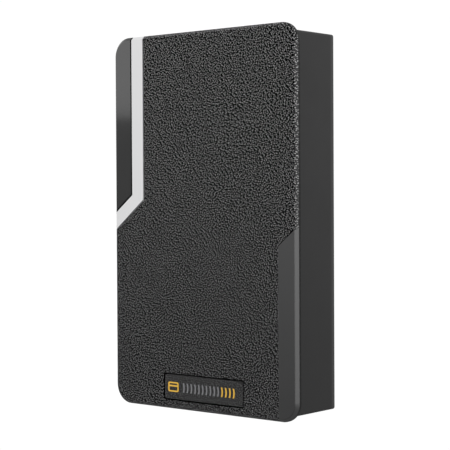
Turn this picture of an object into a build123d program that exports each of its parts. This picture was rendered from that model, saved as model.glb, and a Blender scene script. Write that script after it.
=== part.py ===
from build123d import *
import os
from math import sqrt

# Wall-mounted card reader. Millimetres. X is to the right seen from the front,
# Y points into the wall and Z is up. The origin is on the wall, at the centre of
# the wall plate's screw pattern, so everything lies at negative Y.

# Envelope
COVER_W, COVER_H = 76.2, 122.0
DEPTH = 23.6                    # wall to front face
COVER_T = 1.9                   # thickness of the cover at its edge
COVER_R = 6.2
CHAMFER = 1.0

FRONT = -DEPTH
COVER_BACK = FRONT + COVER_T
HALF_W, HALF_H = COVER_W / 2, COVER_H / 2

# Rear housing, standing back behind the cover's rim
SIDE_INSET, TOP_INSET, LOW_INSET = 2.2, 2.3, 1.8
HOUSING_W = COVER_W - 2 * SIDE_INSET
HOUSING_TOP, HOUSING_LOW = HALF_H - TOP_INSET, LOW_INSET - HALF_H
HOUSING_H, HOUSING_Z = HOUSING_TOP - HOUSING_LOW, (HOUSING_TOP + HOUSING_LOW) / 2
HOUSING_R = 0.8
WALL = 2.0
SEAL_T = 0.6
RIM_Y = COVER_BACK + SEAL_T     # front rim of the housing, on the seal
SKIRT_Y = -0.8                  # rear rim, just off the wall
SKIRT_ROUND = 0.4
FLOOR_FRONT, FLOOR_REAR = -5.5, -3.5  # back wall of the electronics bay
INNER_W, INNER_H = HOUSING_W - 2 * WALL, HOUSING_H - 2 * WALL

# Inlays in the cover's face
INLAY_T = 1.4
BAR_LEFT, BAR_RIGHT = -29.83, -24.94
BEND_UPPER, BEND_LOWER = 8.65, 7.15   # heights of the light bar's two bends
SLOPE_UPPER, SLOPE_LOWER = 0.788, 0.798
GASKET_W, GASKET_DEEP = 0.54, 1.25    # black gasket between window and light bar
ACCENT_LEFT, ACCENT_TOP, ACCENT_SLOPE = 30.92, -7.18, 0.805
BAR_SEAM, ACCENT_SEAM, SEAM_DEEP = 0.26, 0.30, 0.8
BADGE_W, BADGE_H, BADGE_X, BADGE_Z = 32.6, 7.9, 0.5, -53.8
BADGE_GAP, BADGE_SUNK, BADGE_T = 0.48, 0.15, 0.7
MARK_T = 0.15                         # printed relief on the badge
OVERSHOOT = 3.0                       # outlines run past the cover's edge by this

# Boards
BOARD_T, BOARD_FRONT = 1.6, -13.0
BOARD_REAR = BOARD_FRONT + BOARD_T
BOARD_W, BOARD_LOW, BOARD_HIGH = 62.0, -44.0, 48.0
BOARD_POSTS = [(-20.5, 43.0), (27.0, 43.0), (27.0, -39.0), (-27.0, -39.0)]
COVER_BOSSES = [(-20.0, 52.5), (29.0, 52.5), (29.0, -52.5), (-29.0, -52.5)]

# Antennas
COIL_X, COIL_Z, COIL_W, COIL_H = 6.0, 15.0, 50.0, 62.0
FORMER_BACK = COVER_BACK + 4.3
FORMER_WALL, FLANGE_T, WINDING_SUNK = 1.0, 0.8, 0.3
FORMER_RIM = 3.5                      # radial width of the former
ANTENNA_BACK, ANTENNA_T = COVER_BACK + 1.5, 1.0
TRACE_T, TRACE_W, TRACE_STEP, TRACE_TURNS = 0.15, 0.9, 1.8, 5

# Wall plate
PLATE_W, PLATE_H, PLATE_T, PLATE_R = 66.4, 111.6, 2.5, 1.2
GANG_SPACING, GANG_R, GANG_SINK = 83.3, 2.1, 3.6
ROUND_BOX_SPACING, ROUND_BOX_R, ROUND_BOX_SINK = 60.3, 1.9, 3.3
SINK_T = 1.5
CABLE_W, CABLE_LOW, CABLE_HIGH, CABLE_R = 32.0, -16.0, 14.0, 3.0
GASKET_T, GASKET_RIM = 0.8, 3.5

# Hinge bead along the plate's top edge; the housing hangs and swings on it
BEAD_Y, BEAD_Z, BEAD_R, BEAD_L = -1.4, HOUSING_TOP - 2.6, 1.1, 52.0
BEAD_END_PLAY = 0.5

# Hooks at the top, heights measured down from the housing's top
HOOK_X, HOOK_W, HOOK_T = 9.0, 8.0, 1.3
HOOK_REACH = -7.5
STEM_LOW, STEM_HIGH, LEG_HIGH = -9.0, -7.5, -6.85
SLOT_LOW, SLOT_HIGH, SLOT_W = -12.5, -7.35, 9.6
POCKET_LOW, POCKET_HIGH, POCKET_DEPTH = -13.5, -6.2, -8.6
POCKET_WALL = 1.0

# Lock at the bottom
TAB_W, TAB_REACH, TAB_LOW, TAB_T = 12.0, -12.0, -50.4, 1.5
LOCK_Y = -9.0                          # axis of the security screw
LOCK_HOLE_R, SHANK_R, HEAD_R = 1.8, 1.5, 2.9
HEAD_T, SHANK_L, SCREW_LOW = 1.5, 5.1, -58.9
COUNTERBORE_R, COUNTERBORE_TOP = 3.1, -53.4
LOCK_BOSS_TOP, NOTCH_TOP = -51.6, -46.5
LOCK_W, LOCK_DEPTH = 14.0, -13.0
RUNNING = 0.05                         # radial clearance of a running fit

# Terminal block on the rear of the main board
POLES, PITCH = 8, 3.5
BLOCK_LOW, BLOCK_HIGH, BLOCK_REAR = -9.0, -1.4, -2.9
BAY_W, BAY_LOW, BAY_HIGH = 33.0, -18.0, 2.0

# Tamper switch
TAMPER_X, TAMPER_Z = 24.0, -30.0
PLUNGER_R, PLUNGER_TIP = 1.5, -2.55
SWITCH_TOP = -9.3

LED_SPOTS = [(-27.2, z) for z in (12, 20, 28, 36, 44)] + [(-28.9, 4.6)]
LED_SIZE, LED_T = 2.0, 0.8


def block(x0, x1, y0, y1, z0, z1):
    """A box between two corners."""
    middle = Pos((x0 + x1) / 2, (y0 + y1) / 2, (z0 + z1) / 2)
    return middle * Box(x1 - x0, y1 - y0, z1 - z0)


def chip(x, z, width, height, thick):
    """A flat part on the front of the main board."""
    return block(x - width / 2, x + width / 2, BOARD_FRONT - thick, BOARD_FRONT,
                 z - height / 2, z + height / 2)


def slab(outline, back, front):
    """An outline drawn in X and Z, extruded from back towards the front."""
    plane = Plane(origin=(0, back, 0), x_dir=(1, 0, 0), z_dir=(0, -1, 0))
    return extrude(plane * outline, amount=back - front)


def rod(x, z, radius, back, front):
    """A round bar along Y."""
    return slab(Pos(x, z) * Circle(radius), back, front)


def upright(radius, low, high):
    """A round bar along Z on the security screw's axis."""
    return Pos(0, LOCK_Y, (low + high) / 2) * Cylinder(radius, high - low)


def bead(radius, length):
    """A round bar along X on the swing axis."""
    return Pos(0, BEAD_Y, BEAD_Z) * Rot(0, 90, 0) * Cylinder(radius, length)


def outline(points):
    return make_face(Polyline(*points, close=True))


def envelope():
    """The cover's outside: a rounded plate with a chamfered front edge."""
    plate = slab(RectangleRounded(COVER_W, COVER_H, COVER_R), COVER_BACK, FRONT)
    return chamfer(plate.faces().sort_by(Axis.Y)[0].edges(), CHAMFER)


def bar_outline(seam=0):
    """The light bar: down from the top edge, then slanting to the left edge.

    A seam widens it on the side of the grained face."""
    edge, top = -HALF_W - OVERSHOOT, HALF_H + OVERSHOOT
    right, bend = BAR_RIGHT + seam, BEND_LOWER - seam
    return outline([
        (BAR_LEFT, top), (right, top), (right, bend),
        (edge, bend + SLOPE_LOWER * (edge - right)),
        (edge, BEND_UPPER + SLOPE_UPPER * (edge - BAR_LEFT)),
        (BAR_LEFT, BEND_UPPER),
    ])


def window_outline(gap):
    """The status window, left of the light bar and a gap away from it."""
    edge, top = -HALF_W - OVERSHOOT, HALF_H + OVERSHOOT
    rise = gap * sqrt(1 + SLOPE_UPPER ** 2)
    corner = BEND_UPPER + rise - SLOPE_UPPER * gap
    return outline([
        (edge, top), (BAR_LEFT - gap, top), (BAR_LEFT - gap, corner),
        (edge, corner + SLOPE_UPPER * (edge - BAR_LEFT + gap)),
    ])


def accent_outline(seam):
    """The smooth panel at the lower right, with a slanting top edge."""
    edge, low = HALF_W + OVERSHOOT, -HALF_H - OVERSHOOT
    top = ACCENT_TOP + seam
    return outline([
        (ACCENT_LEFT, low), (ACCENT_LEFT, top),
        (edge, top + ACCENT_SLOPE * (edge - ACCENT_LEFT)), (edge, low),
    ])


def lit_outline():
    """The stretch of the light bar that goes right through the cover."""
    room = Pos(0, 0) * Rectangle(2 * 31.3, 2 * 54.0)
    return bar_outline() & room


def inlay(shape):
    """An inlay that is flush with the cover's face and chamfer."""
    return envelope() & slab(shape, FRONT + INLAY_T, FRONT)


def front_cover():
    body = envelope()
    body -= slab(window_outline(0), FRONT + GASKET_DEEP, FRONT - 1)
    for shape in (window_outline(GASKET_W), bar_outline(), accent_outline(0)):
        body -= slab(shape, FRONT + INLAY_T, FRONT - 1)
    for shape in (bar_outline(BAR_SEAM), accent_outline(ACCENT_SEAM)):
        body -= slab(shape, FRONT + SEAM_DEEP, FRONT - 1)
    body -= slab(lit_outline(), COVER_BACK + 1, FRONT - 1)
    recess = RectangleRounded(BADGE_W + 2 * BADGE_GAP, BADGE_H + 2 * BADGE_GAP, 0.9)
    body -= slab(Pos(BADGE_X, BADGE_Z) * recess, FRONT + BADGE_SUNK + BADGE_T, FRONT - 1)
    tongue = RectangleRounded(INNER_W - 0.6, INNER_H - 0.6, 1.0)
    tongue -= RectangleRounded(INNER_W - 3.0, INNER_H - 3.0, 0.8)
    body += slab(Pos(0, HOUSING_Z) * tongue, COVER_BACK + 2.6, COVER_BACK)
    for x, z in COVER_BOSSES:
        body += rod(x, z, 3.0, FLOOR_FRONT, COVER_BACK)
        body -= rod(x, z, 2.02, FLOOR_FRONT, FLOOR_FRONT - 4.5)
    return body


def status_window():
    return inlay(window_outline(GASKET_W))


def window_gasket():
    """Black strip in the groove between the window and the light bar."""
    strip = slab(window_outline(0), FRONT + GASKET_DEEP, FRONT)
    strip -= slab(window_outline(GASKET_W), FRONT + GASKET_DEEP, FRONT)
    return envelope() & strip


def light_bar():
    return inlay(bar_outline()) + slab(lit_outline(), COVER_BACK, FRONT + INLAY_T)


def accent_panel():
    return inlay(accent_outline(0))


def badge_plate():
    face = FRONT + BADGE_SUNK
    return slab(Pos(BADGE_X, BADGE_Z) * RectangleRounded(BADGE_W, BADGE_H, 0.6), face + BADGE_T, face)


def mark(shape):
    """Relief on the badge, flush with the cover's face."""
    return slab(Pos(BADGE_X, BADGE_Z) * shape, FRONT + BADGE_SUNK, FRONT + BADGE_SUNK - MARK_T)


def wave(index):
    """One bowed line of the generic signal pattern."""
    radius, line, half_height = 4.0, 0.45, 1.5
    ring = Circle(radius + line / 2) - Circle(radius - line / 2)
    window = Pos(radius, 0) * Rectangle(radius, 2 * half_height)
    return mark(Pos(-12.0 + 1.6 * index, 0) * (ring & window))


def badge_waves():
    return Compound([wave(i).solid() for i in range(10)])


def badge_icon():
    card = RectangleRounded(4.4, 3.2, 0.6) - RectangleRounded(3.5, 2.3, 0.3)
    stripe = Pos(0, 0.35) * Rectangle(3.5, 0.5)
    solids = [mark(Pos(-12.6, 0) * (card + stripe)).solid()]
    solids += [wave(i).solid() for i in range(10, 14)]
    return Compound(solids)


def cover_seal():
    ring = RectangleRounded(HOUSING_W - 1.2, HOUSING_H - 1.2, 1.2)
    ring -= RectangleRounded(INNER_W + 0.4, INNER_H + 0.4, 0.8)
    return slab(Pos(0, HOUSING_Z) * ring, RIM_Y, COVER_BACK)


def light_tray():
    """White well that keeps the light behind the bar, standing on the board."""
    well = lit_outline()
    tray = slab(offset(well, 0.8, kind=Kind.INTERSECTION), BOARD_FRONT, COVER_BACK)
    tray -= slab(well, BOARD_FRONT - LED_T, COVER_BACK)
    opening = LED_SIZE / 2 + 0.3
    for x, z in LED_SPOTS:
        tray -= block(x - opening, x + opening, BOARD_FRONT - LED_T, BOARD_FRONT, z - opening, z + opening)
    return tray


def status_leds():
    return Compound([chip(x, z, LED_SIZE, LED_SIZE, LED_T).solid() for x, z in LED_SPOTS])


def hook_pocket(side):
    """Walls that close the housing behind one hook slot."""
    x0, x1 = side * HOOK_X - SLOT_W / 2, side * HOOK_X + SLOT_W / 2
    low, high = HOUSING_TOP + POCKET_LOW, HOUSING_TOP + POCKET_HIGH
    w = POCKET_WALL
    outer = block(x0 - w, x1 + w, POCKET_DEPTH - w, FLOOR_FRONT, low - w, high + w)
    return outer - block(x0, x1, POCKET_DEPTH, FLOOR_FRONT, low, high)


def hook_slot(side):
    x0, x1 = side * HOOK_X - SLOT_W / 2, side * HOOK_X + SLOT_W / 2
    return block(x0, x1, FLOOR_FRONT, FLOOR_REAR, HOUSING_TOP + SLOT_LOW, HOUSING_TOP + SLOT_HIGH)


def lock_boss():
    """Walls round the lock tab, on a solid foot that guides the security screw."""
    w = POCKET_WALL
    half = LOCK_W / 2
    boss = block(-half - w, half + w, LOCK_DEPTH - w, FLOOR_FRONT, HOUSING_LOW + WALL - 0.5, NOTCH_TOP + w)
    return boss - block(-half, half, LOCK_DEPTH, FLOOR_FRONT, LOCK_BOSS_TOP, NOTCH_TOP)


def rear_housing():
    middle = Pos(0, HOUSING_Z)
    shell = slab(middle * RectangleRounded(HOUSING_W, HOUSING_H, HOUSING_R), SKIRT_Y, RIM_Y)
    shell = fillet(shell.faces().sort_by(Axis.Y)[-1].edges(), SKIRT_ROUND)
    inside = middle * RectangleRounded(INNER_W, INNER_H, 0.8)
    shell -= slab(inside, FLOOR_FRONT, RIM_Y - 1)
    shell -= slab(inside, SKIRT_Y + 1, FLOOR_REAR)
    shell -= bead(BEAD_R + RUNNING, BEAD_L + 2 * BEAD_END_PLAY)
    for x, z in BOARD_POSTS:
        shell += rod(x, z, 2.6, FLOOR_FRONT, BOARD_REAR)
        shell -= rod(x, z, 1.05, FLOOR_FRONT - 1.5, BOARD_REAR)
    for side in (-1, 1):
        shell += hook_pocket(side)
        shell -= hook_slot(side)
    shell += lock_boss()
    shell -= block(-LOCK_W / 2, LOCK_W / 2, FLOOR_FRONT, FLOOR_REAR, LOCK_BOSS_TOP, NOTCH_TOP)
    shell -= upright(COUNTERBORE_R, HOUSING_LOW - 1, COUNTERBORE_TOP)
    shell -= upright(SHANK_R + RUNNING, COUNTERBORE_TOP - 1, LOCK_BOSS_TOP + 0.5)
    shell -= block(-BAY_W / 2, BAY_W / 2, FLOOR_FRONT, FLOOR_REAR, BAY_LOW, BAY_HIGH)
    for x, z in COVER_BOSSES:
        shell -= rod(x, z, 1.45, FLOOR_REAR, FLOOR_FRONT)
        shell -= rod(x, z, 2.6, FLOOR_REAR, FLOOR_REAR - 1.0)
    shell -= rod(TAMPER_X, TAMPER_Z, PLUNGER_R + RUNNING, FLOOR_REAR, FLOOR_FRONT)
    return shell


def main_board():
    board = block(-BOARD_W / 2, BOARD_W / 2, BOARD_FRONT, BOARD_REAR, BOARD_LOW, BOARD_HIGH)
    for x, z in BOARD_POSTS:
        board -= rod(x, z, 1.2, BOARD_REAR, BOARD_FRONT)
    return board


def cross_head(x, z, radius, back, front):
    """A screw head along Y with a cross recess in its front face."""
    head = rod(x, z, radius, back, front)
    arm = radius * 0.55
    for w, h in ((arm, 0.25), (0.25, arm)):
        head -= block(x - w, x + w, front, front + 0.5, z - h, z + h)
    return head


def board_screws():
    solids = []
    for x, z in BOARD_POSTS:
        head = cross_head(x, z, 1.9, BOARD_FRONT, BOARD_FRONT - 1.3)
        solids.append((head + rod(x, z, 1.0, BOARD_FRONT + 5.0, BOARD_FRONT)).solid())
    return Compound(solids)


def cover_screws():
    """Screws driven from the rear into the cover's bosses."""
    seat = FLOOR_REAR - 1.0
    solids = []
    for x, z in COVER_BOSSES:
        screw = rod(x, z, 2.3, seat + 1.3, seat) + rod(x, z, 1.25, seat, seat - 4.5)
        socket = Pos(x, z) * RegularPolygon(1.1, 6)
        solids.append((screw - slab(socket, seat + 1.3, seat + 0.4)).solid())
    return Compound(solids)


def threaded_inserts():
    solids = []
    for x, z in COVER_BOSSES:
        sleeve = rod(x, z, 2.0, FLOOR_FRONT, FLOOR_FRONT - 4.0)
        solids.append((sleeve - rod(x, z, 1.3, FLOOR_FRONT, FLOOR_FRONT - 4.0)).solid())
    return Compound(solids)


def ring(width, height, rim, radius):
    """A flat rounded frame centred on the coil."""
    hole = RectangleRounded(width - 2 * rim, height - 2 * rim, radius)
    return Pos(COIL_X, COIL_Z) * (RectangleRounded(width, height, radius + rim) - hole)


def coil_former():
    """Channel-section frame that carries the low-frequency winding."""
    core = ring(COIL_W - 2 * (FORMER_RIM - FORMER_WALL), COIL_H - 2 * (FORMER_RIM - FORMER_WALL),
                FORMER_WALL, 2.0)
    flange = ring(COIL_W, COIL_H, FORMER_RIM, 2.0)
    former = slab(core, FORMER_BACK, COVER_BACK)
    former += slab(flange, FORMER_BACK, FORMER_BACK - FLANGE_T)
    former += slab(flange, COVER_BACK + FLANGE_T, COVER_BACK)
    return former


def lf_coil():
    rim = FORMER_RIM - FORMER_WALL - WINDING_SUNK
    winding = ring(COIL_W - 2 * WINDING_SUNK, COIL_H - 2 * WINDING_SUNK, rim, 3.0)
    return slab(winding, FORMER_BACK - FLANGE_T, COVER_BACK + FLANGE_T)


def antenna_size():
    return COIL_W - 2 * FORMER_RIM - 1.0, COIL_H - 2 * FORMER_RIM - 1.0


def antenna_board():
    width, height = antenna_size()
    return slab(Pos(COIL_X, COIL_Z) * RectangleRounded(width, height, 1.5), ANTENNA_BACK,
                ANTENNA_BACK - ANTENNA_T)


def hf_antenna():
    """Square spiral of flat copper on the front of the antenna board."""
    width, height = antenna_size()
    x, z = width / 2 - 1.5, height / 2 - 1.5
    points = [(-x + TRACE_STEP, -z)]
    for turn in range(TRACE_TURNS):
        inset = turn * TRACE_STEP
        points += [(x - inset, -z + inset), (x - inset, z - inset), (-x + inset, z - inset)]
        points += [(-x + inset, -z + inset + TRACE_STEP)]
    front = ANTENNA_BACK - ANTENNA_T
    spiral = None
    for (x0, z0), (x1, z1) in zip(points, points[1:]):
        run = Pos(COIL_X + (x0 + x1) / 2, COIL_Z + (z0 + z1) / 2)
        run = run * Rectangle(abs(x1 - x0) + TRACE_W, abs(z1 - z0) + TRACE_W)
        spiral = run if spiral is None else spiral + run
    return slab(spiral, front, front - TRACE_T)


def ferrite_sheet():
    width, height = antenna_size()
    return slab(Pos(COIL_X, COIL_Z + 3.0) * Rectangle(width - 4, height - 8), ANTENNA_BACK + 0.4,
                ANTENNA_BACK)


def antenna_header():
    """Pins that join the two boards, in a plastic base."""
    x0, z0 = COIL_X + 12.0, COIL_Z - 23.0
    base = block(x0 - 2.5, x0 + 2.5, BOARD_FRONT - 2.5, BOARD_FRONT, z0 - 1.2, z0 + 1.2)
    for x in (x0 - 1.27, x0 + 1.27):
        base += block(x - 0.32, x + 0.32, ANTENNA_BACK, BOARD_FRONT - 2.5, z0 - 0.32, z0 + 0.32)
    return base


def rf_shield():
    """Thin metal can over the radio, open towards the board."""
    x, z, w, h, t, wall = 5.0, 14.0, 20.0, 18.0, 2.2, 0.3
    can = chip(x, z, w, h, t)
    return can - block(x - w / 2 + wall, x + w / 2 - wall, BOARD_FRONT - t + wall, BOARD_FRONT,
                       z - h / 2 + wall, z + h / 2 - wall)


def radio_chip():
    return chip(3.0, 14.0, 6.0, 6.0, 0.9)


def crystal():
    return chip(11.0, 14.0, 3.2, 2.5, 0.8)


def processor_chip():
    """Square chip with a row of legs on each side."""
    x0, z0, size, legs, pitch = 0.0, -26.0, 10.0, 9, 1.0
    body = chip(x0, z0, size, size, 1.4)
    reach = size / 2 + 0.8
    for i in range(legs):
        shift = (i - (legs - 1) / 2) * pitch
        body += chip(x0, z0 + shift, 2 * reach, 0.4, 0.25)
        body += chip(x0 + shift, z0, 0.4, 2 * reach, 0.25)
    return body


def bluetooth_module():
    """Small board with a shield can and a bare antenna end."""
    x, z = 18.5, -30.0
    return chip(x, z, 12.0, 16.0, 0.8) + block(x - 5, x + 5, BOARD_FRONT - 2.4, BOARD_FRONT - 0.8,
                                               z - 7.2, z + 3.5)


def bulk_capacitors():
    solids = []
    for z in (-14.0, -21.0):
        foot = chip(-24.0, z, 5.3, 5.3, 0.8)
        solids.append((foot + rod(-24.0, z, 2.5, BOARD_FRONT - 0.8, BOARD_FRONT - 5.4)).solid())
    return Compound(solids)


def power_inductor():
    core = chip(-24.0, -5.5, 6.0, 6.0, 3.0)
    return fillet(core.edges().filter_by(Axis.Y), 0.8)


def regulator_chip():
    return chip(-24.0, -29.0, 4.0, 5.0, 1.2)


def small_parts():
    """Resistors and small capacitors in rows round the processor."""
    spots = [(-13.0 + 3.0 * i, -16.0) for i in range(8)]
    spots += [(11.0, -21.5 - 2.4 * i) for i in range(5)] + [(-4.0 + 3.0 * i, -35.5) for i in range(4)]
    return Compound([chip(x, z, 1.6, 0.8, 0.5).solid() for x, z in spots])


def buzzer():
    """Round sounder with a central sound hole."""
    can = rod(-13.0, -30.0, 6.0, BOARD_FRONT, BOARD_FRONT - 4.5)
    return can - rod(-13.0, -30.0, 0.9, BOARD_FRONT - 3.0, BOARD_FRONT - 4.5)


def pole_x(index):
    return (index - (POLES - 1) / 2) * PITCH


def terminal_block():
    """Screw terminals: wires enter from below, screws face the wall."""
    half = POLES * PITCH / 2 + 0.35
    body = block(-half, half, BOARD_REAR, BLOCK_REAR, BLOCK_LOW, BLOCK_HIGH)
    for i in range(POLES):
        x = pole_x(i)
        body -= block(x - 1.4, x + 1.4, -9.6, -6.8, BLOCK_LOW, -3.5)
        body -= block(x - 1.4, x + 1.4, -6.4, BLOCK_REAR, -6.6, -3.8)
    return body


def terminal_clamps():
    """Metal cages inside the wire entries."""
    solids = []
    for i in range(POLES):
        x = pole_x(i)
        cage = block(x - 1.3, x + 1.3, -9.5, -6.9, -8.2, -4.2)
        solids.append((cage - block(x - 0.9, x + 0.9, -9.1, -7.3, -8.2, -4.2)).solid())
    return Compound(solids)


def terminal_screws():
    """Slotted screws in the block's wells."""
    solids = []
    for i in range(POLES):
        x = pole_x(i)
        screw = rod(x, -5.2, 1.25, -4.2, -6.3)
        solids.append((screw - block(x - 1.3, x + 1.3, -5.0, -4.2, -5.5, -4.9)).solid())
    return Compound(solids)


def tamper_switch():
    body = block(TAMPER_X - 3, TAMPER_X + 3, BOARD_REAR, SWITCH_TOP - 0.3, TAMPER_Z - 3, TAMPER_Z + 3)
    return body + rod(TAMPER_X, TAMPER_Z, 1.2, SWITCH_TOP, SWITCH_TOP - 0.3)


def tamper_plunger():
    """Sprung pin that bears on the wall plate while the reader is on the wall."""
    flange = FLOOR_FRONT - 0.1
    pin = rod(TAMPER_X, TAMPER_Z, PLUNGER_R, PLUNGER_TIP, flange)
    pin += rod(TAMPER_X, TAMPER_Z, 2.3, flange, flange - 0.6)
    return pin + rod(TAMPER_X, TAMPER_Z, 1.1, flange - 0.6, -7.6)


def tamper_spring():
    wire, radius, turns = 0.3, 1.75, 3.5
    start, end = -6.4, SWITCH_TOP + 0.2
    pitch = (start - end) / turns
    path = Helix(pitch, start - end, radius)
    section = Plane(origin=path @ 0, z_dir=path % 0) * Circle(wire / 2)
    coil = sweep(section, path=path, is_frenet=True)
    return Pos(TAMPER_X, start, TAMPER_Z) * Rot(90, 0, 0) * coil


def security_screw():
    """Captive screw that rises into the wall plate's tab; drive recess underneath."""
    head_top = SCREW_LOW + HEAD_T
    screw = upright(HEAD_R, SCREW_LOW, head_top) + upright(SHANK_R, head_top, head_top + SHANK_L)
    socket = RegularPolygon(1.5, 6) - Circle(0.5)
    return screw - Pos(0, LOCK_Y, SCREW_LOW) * extrude(socket, amount=0.9)


def plate_hook(side):
    """L-shaped hook that enters the housing's slot and turns up behind its wall."""
    x0, x1 = side * HOOK_X - HOOK_W / 2, side * HOOK_X + HOOK_W / 2
    stem = block(x0, x1, HOOK_REACH, -PLATE_T, HOUSING_TOP + STEM_LOW, HOUSING_TOP + STEM_HIGH)
    leg = block(x0, x1, HOOK_REACH, HOOK_REACH + HOOK_T, HOUSING_TOP + STEM_LOW, HOUSING_TOP + LEG_HIGH)
    return stem + leg


def countersunk(z, radius, sink_radius):
    """A screw hole through the plate with a conical seat at the front."""
    hole = rod(0, z, radius, 0, -PLATE_T)
    seat = Cone(radius, sink_radius, SINK_T)
    return hole + Pos(0, -PLATE_T + SINK_T / 2, z) * Rot(90, 0, 0) * seat


def mounting_plate():
    plate = slab(RectangleRounded(PLATE_W, PLATE_H, PLATE_R), 0, -PLATE_T) + bead(BEAD_R, BEAD_L)
    opening = RectangleRounded(CABLE_W, CABLE_HIGH - CABLE_LOW, CABLE_R)
    plate -= slab(Pos(0, (CABLE_LOW + CABLE_HIGH) / 2) * opening, 0, -PLATE_T)
    for side in (-1, 1):
        plate -= countersunk(side * GANG_SPACING / 2, GANG_R, GANG_SINK)
        plate -= countersunk(side * ROUND_BOX_SPACING / 2, ROUND_BOX_R, ROUND_BOX_SINK)
        plate += plate_hook(side)
    plate += block(-TAB_W / 2, TAB_W / 2, TAB_REACH, -PLATE_T, TAB_LOW, TAB_LOW + TAB_T)
    return plate - upright(LOCK_HOLE_R, TAB_LOW - 1, TAB_LOW + TAB_T + 1)


def cable_gasket():
    """Foam ring round the cable opening, facing the housing's rear wall."""
    middle = (CABLE_LOW + CABLE_HIGH) / 2
    width, height = CABLE_W + 2, CABLE_HIGH - CABLE_LOW + 3
    foam = RectangleRounded(width + 2 * GASKET_RIM, height + 2 * GASKET_RIM, CABLE_R)
    foam -= RectangleRounded(width, height, CABLE_R - 1)
    return slab(Pos(0, middle - 1.0) * foam, -PLATE_T, -PLATE_T - GASKET_T)


NODES = [
    mounting_plate, cable_gasket,
    rear_housing, front_cover, status_window, window_gasket, light_bar, accent_panel,
    badge_plate, badge_waves, badge_icon, cover_seal, cover_screws, threaded_inserts,
    main_board, board_screws, status_leds, light_tray, processor_chip, small_parts,
    radio_chip, crystal, rf_shield, bluetooth_module, bulk_capacitors, power_inductor,
    regulator_chip, buzzer, antenna_header, antenna_board, hf_antenna, ferrite_sheet,
    coil_former, lf_coil, terminal_block, terminal_clamps, terminal_screws,
    tamper_switch, tamper_plunger, tamper_spring, security_screw,
]

os.makedirs("parts", exist_ok=True)
for make in NODES:
    export_step(make(), f"parts/{make.__name__}.step")
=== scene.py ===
"""Looks of the wall-mounted card reader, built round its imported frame."""

import math

import bpy
from mathutils import Matrix, Vector


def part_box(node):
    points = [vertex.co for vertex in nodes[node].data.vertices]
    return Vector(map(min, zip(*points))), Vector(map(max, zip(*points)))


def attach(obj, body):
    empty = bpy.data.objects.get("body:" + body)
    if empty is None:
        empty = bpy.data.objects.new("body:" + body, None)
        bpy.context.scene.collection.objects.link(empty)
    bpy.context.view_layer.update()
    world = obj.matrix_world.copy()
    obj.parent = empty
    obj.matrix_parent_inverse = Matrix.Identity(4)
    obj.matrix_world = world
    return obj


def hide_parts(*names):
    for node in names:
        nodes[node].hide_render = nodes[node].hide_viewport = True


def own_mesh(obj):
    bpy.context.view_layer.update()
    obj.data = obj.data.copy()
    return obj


MM = 0.001                                        # sizes below are in millimetres unless they say otherwise

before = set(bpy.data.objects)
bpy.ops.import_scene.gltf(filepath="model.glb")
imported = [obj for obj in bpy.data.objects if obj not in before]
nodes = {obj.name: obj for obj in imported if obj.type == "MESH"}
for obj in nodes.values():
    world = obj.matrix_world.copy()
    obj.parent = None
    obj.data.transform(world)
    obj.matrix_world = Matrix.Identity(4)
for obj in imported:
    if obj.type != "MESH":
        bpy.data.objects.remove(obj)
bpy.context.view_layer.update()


def span(name):
    """The low and the high corner of a piece's box."""
    return [[value / MM for value in corner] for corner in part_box(name)]


def middle(name):
    """The x and z of a piece's middle."""
    low, high = span(name)
    return (low[0] + high[0]) / 2, (low[2] + high[2]) / 2


FACE_Y = span("front_cover")[0][1]                # the cover's front face
HALF_W, _, HALF_H = span("front_cover")[1]        # half its width and height
REAR_RIM = span("rear_housing")[1][1]             # the housing's edge towards the wall
BOARD_FRONT = span("main_board")[0][1]


# ---------------------------------------------------------------- camera

AZIMUTH, ELEVATION, ROLL = 40.373, 1.113, -0.313  # degrees
DISTANCE = 447.2
SENSOR, FOCAL = 36.0, 111.96
SHIFT_X, SHIFT_Y = 0.0495, -0.0072                # shares of the sensor's width
EDGE_DEPTH = 1.0                                  # the camera turns about a point this far behind the face


def direction(azimuth, elevation):
    """Towards the viewer or lamp; azimuth 0 is straight in front, and 90 is the right side."""
    a, e = math.radians(azimuth), math.radians(elevation)
    return Vector((math.sin(a) * math.cos(e), -math.cos(a) * math.cos(e), math.sin(e)))


def make_camera():
    a, r = math.radians(AZIMUTH), math.radians(ROLL)
    back = direction(AZIMUTH, ELEVATION)
    right = Vector((math.cos(a), math.sin(a), 0))
    up = back.cross(right)
    x = math.cos(r) * right + math.sin(r) * up
    y = -math.sin(r) * right + math.cos(r) * up
    data = bpy.data.cameras.new("camera")
    data.sensor_width, data.lens = SENSOR, FOCAL
    data.shift_x, data.shift_y = SHIFT_X, SHIFT_Y
    data.clip_start, data.clip_end = 0.01, 100.0
    camera = bpy.data.objects.new("camera", data)
    place = Vector((0, FACE_Y + EDGE_DEPTH, 0)) * MM + back * DISTANCE * MM
    camera.matrix_world = Matrix.Translation(place) @ Matrix((x, y, back)).transposed().to_4x4()
    bpy.context.scene.collection.objects.link(camera)
    bpy.context.scene.camera = camera


# ---------------------------------------------------------------- material kit

def grey(level):
    """A neutral that is a trace cool."""
    return (level, level, level * 1.01)


def shade(color, factor):
    return tuple(c * factor for c in color)


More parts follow.
